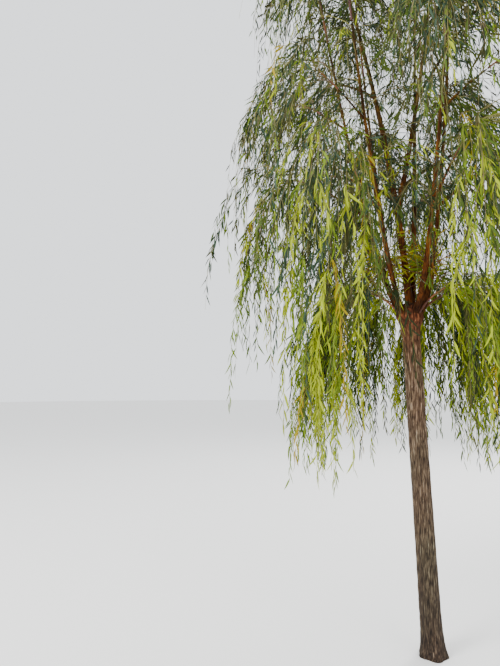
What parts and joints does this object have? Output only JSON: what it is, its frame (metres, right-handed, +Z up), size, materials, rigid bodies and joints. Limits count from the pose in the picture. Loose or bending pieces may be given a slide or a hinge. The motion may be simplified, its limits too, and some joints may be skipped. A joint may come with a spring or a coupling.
{
  "type": "weeping willow tree",
  "caption": "Young pollarded weeping willow: straight leaning trunk with a knobbed head, a broom of steep boughs, and long hanging leafy strands all round.",
  "frame": {"origin": "middle of the flat cut under the trunk, at ground level", "axes": "+Z up. The trunk leans towards -X. +Y points away from the pictured side."},
  "size_m": [3.348, 3.2163, 6.7324],
  "materials": {
    "old_bark": "grey-brown bark with long upright furrows and paler ridges",
    "young_bark": "smooth red-brown bark that turns olive towards the tips",
    "foliage": "thin satin leaves in yellow-green to deep green"
  },
  "bodies": {
    "root": {"bough_centre": "young_bark", "bough_fork": "young_bark", "bough_front_left": "young_bark", "bough_front_right": "young_bark", "bough_left": "young_bark", "bough_rear": "young_bark", "bough_rear_left": "young_bark", "bough_right": "young_bark", "foliage_centre_high": "foliage", "foliage_centre_low": "foliage", "foliage_centre_top": "foliage", "foliage_fork_high": "foliage", "foliage_fork_low": "foliage", "foliage_fork_top": "foliage", "foliage_front_left_high": "foliage", "foliage_front_left_low": "foliage", "foliage_front_left_top": "foliage", "foliage_front_right_high": "foliage", "foliage_front_right_low": "foliage", "foliage_front_right_top": "foliage", "foliage_left_high": "foliage", "foliage_left_low": "foliage", "foliage_left_top": "foliage", "foliage_rear_high": "foliage", "foliage_rear_left_high": "foliage", "foliage_rear_left_low": "foliage", "foliage_rear_left_top": "foliage", "foliage_rear_low": "foliage", "foliage_rear_top": "foliage", "foliage_right_high": "foliage", "foliage_right_low": "foliage", "foliage_right_top": "foliage", "foliage_skirt_1": "foliage", "foliage_skirt_2": "foliage", "foliage_skirt_3": "foliage", "foliage_skirt_4": "foliage", "foliage_skirt_5": "foliage", "side_bough_centre_high": "young_bark", "side_bough_centre_low": "young_bark", "side_bough_fork_high": "young_bark", "side_bough_fork_low": "young_bark", "side_bough_front_left_high": "young_bark", "side_bough_front_left_low": "young_bark", "side_bough_front_right_high": "young_bark", "side_bough_front_right_low": "young_bark", "side_bough_left_high": "young_bark", "side_bough_left_low": "young_bark", "side_bough_rear_high": "young_bark", "side_bough_rear_left_high": "young_bark", "side_bough_rear_left_low": "young_bark", "side_bough_rear_low": "young_bark", "side_bough_right_high": "young_bark", "side_bough_right_low": "young_bark", "trunk": "old_bark"}
  },
  "joints": []
}
